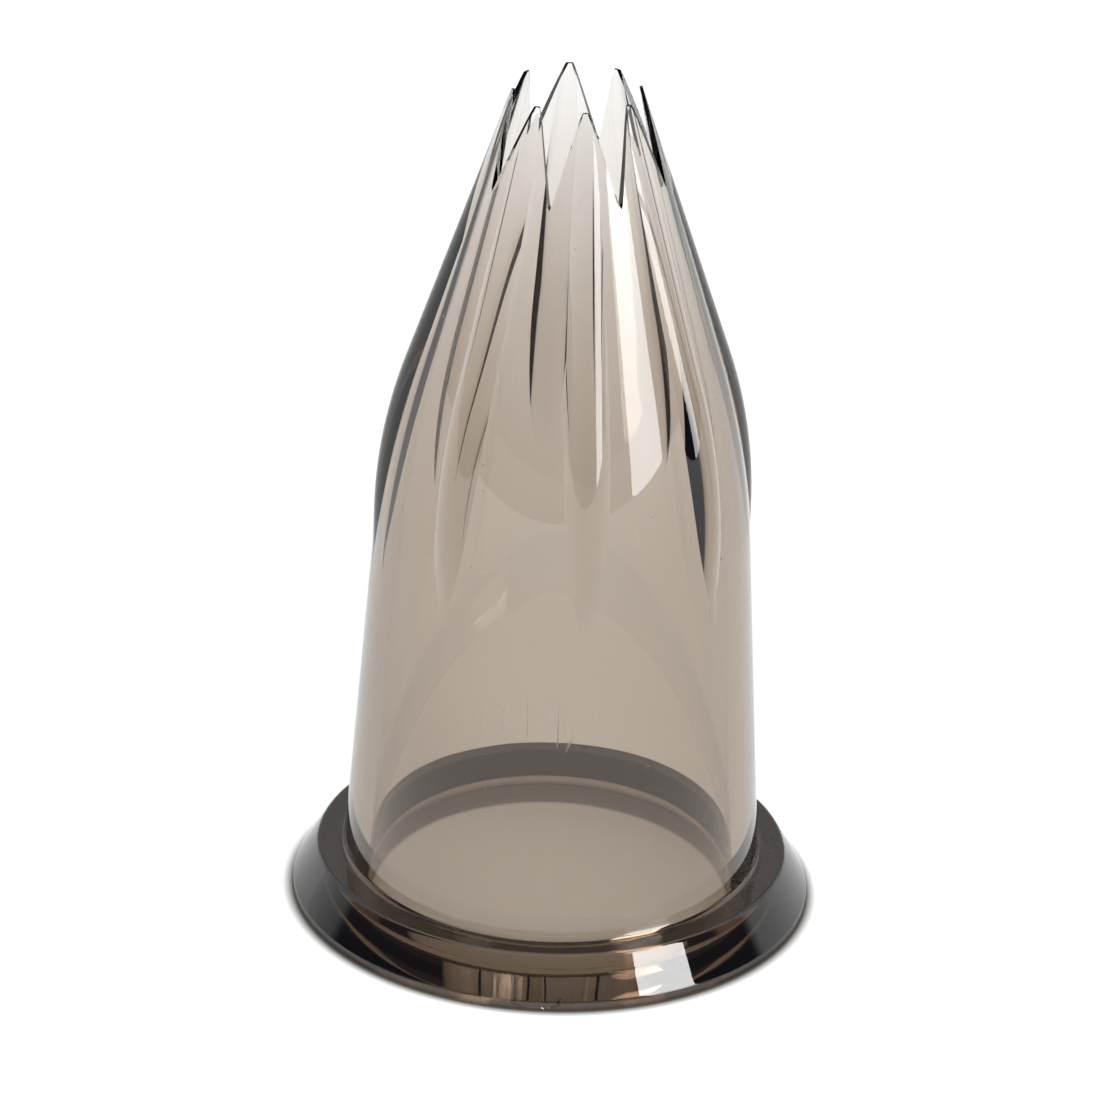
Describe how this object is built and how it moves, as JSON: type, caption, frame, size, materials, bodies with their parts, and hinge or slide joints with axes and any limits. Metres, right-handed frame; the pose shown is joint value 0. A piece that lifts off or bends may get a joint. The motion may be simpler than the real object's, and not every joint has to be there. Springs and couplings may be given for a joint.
{
  "type": "piping nozzle",
  "caption": "Tapered open-star piping nozzle with a fluted, toothed outlet and a flanged foot that seats in a piping bag.",
  "frame": {"origin": "centre of the foot, on the flat underside that the nozzle stands on", "axes": "+Z along the bore axis towards the teeth, with a tooth on the -Y side, in the middle of the front"},
  "size_m": [0.032, 0.032, 0.0541],
  "materials": {
    "smoke_clear_plastic": "clear smoky grey-brown tint, polished inside and out"
  },
  "bodies": {
    "root": {"nozzle_body": "smoke_clear_plastic"}
  },
  "joints": []
}
